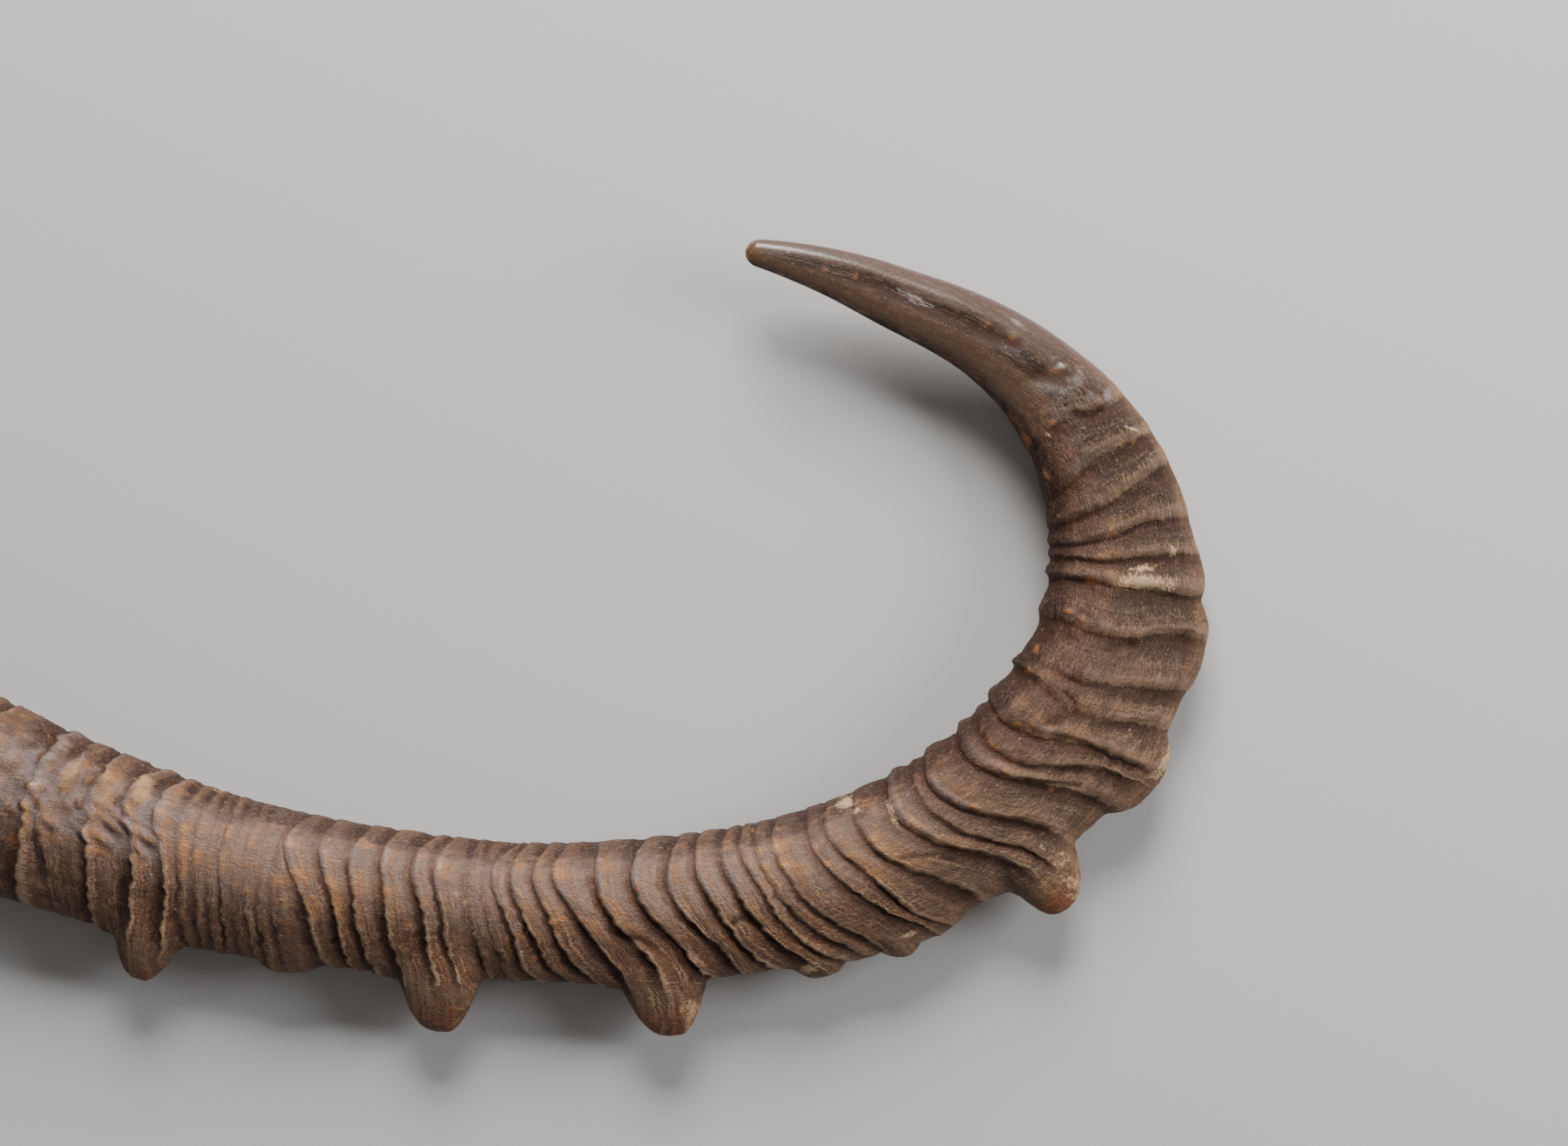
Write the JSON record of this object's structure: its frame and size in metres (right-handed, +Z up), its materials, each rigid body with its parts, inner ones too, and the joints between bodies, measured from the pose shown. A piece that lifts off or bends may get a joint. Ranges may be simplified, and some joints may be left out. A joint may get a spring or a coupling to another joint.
{
  "type": "ibex horn",
  "caption": "Curved wild goat horn lying on its side: knobbed keel, growth ridges, smooth hooked tip and an open hollow base.",
  "frame": {"origin": "on the surface the horn lies on, under the middle of its box", "axes": "+Z up, across the horn's bend; +Y out of the base's cut; the horn bends from -Y round towards +X and back"},
  "size_m": [0.5332, 0.5868, 0.0501],
  "materials": {
    "horn": null
  },
  "bodies": {
    "root": {"horn": "horn"}
  },
  "joints": []
}
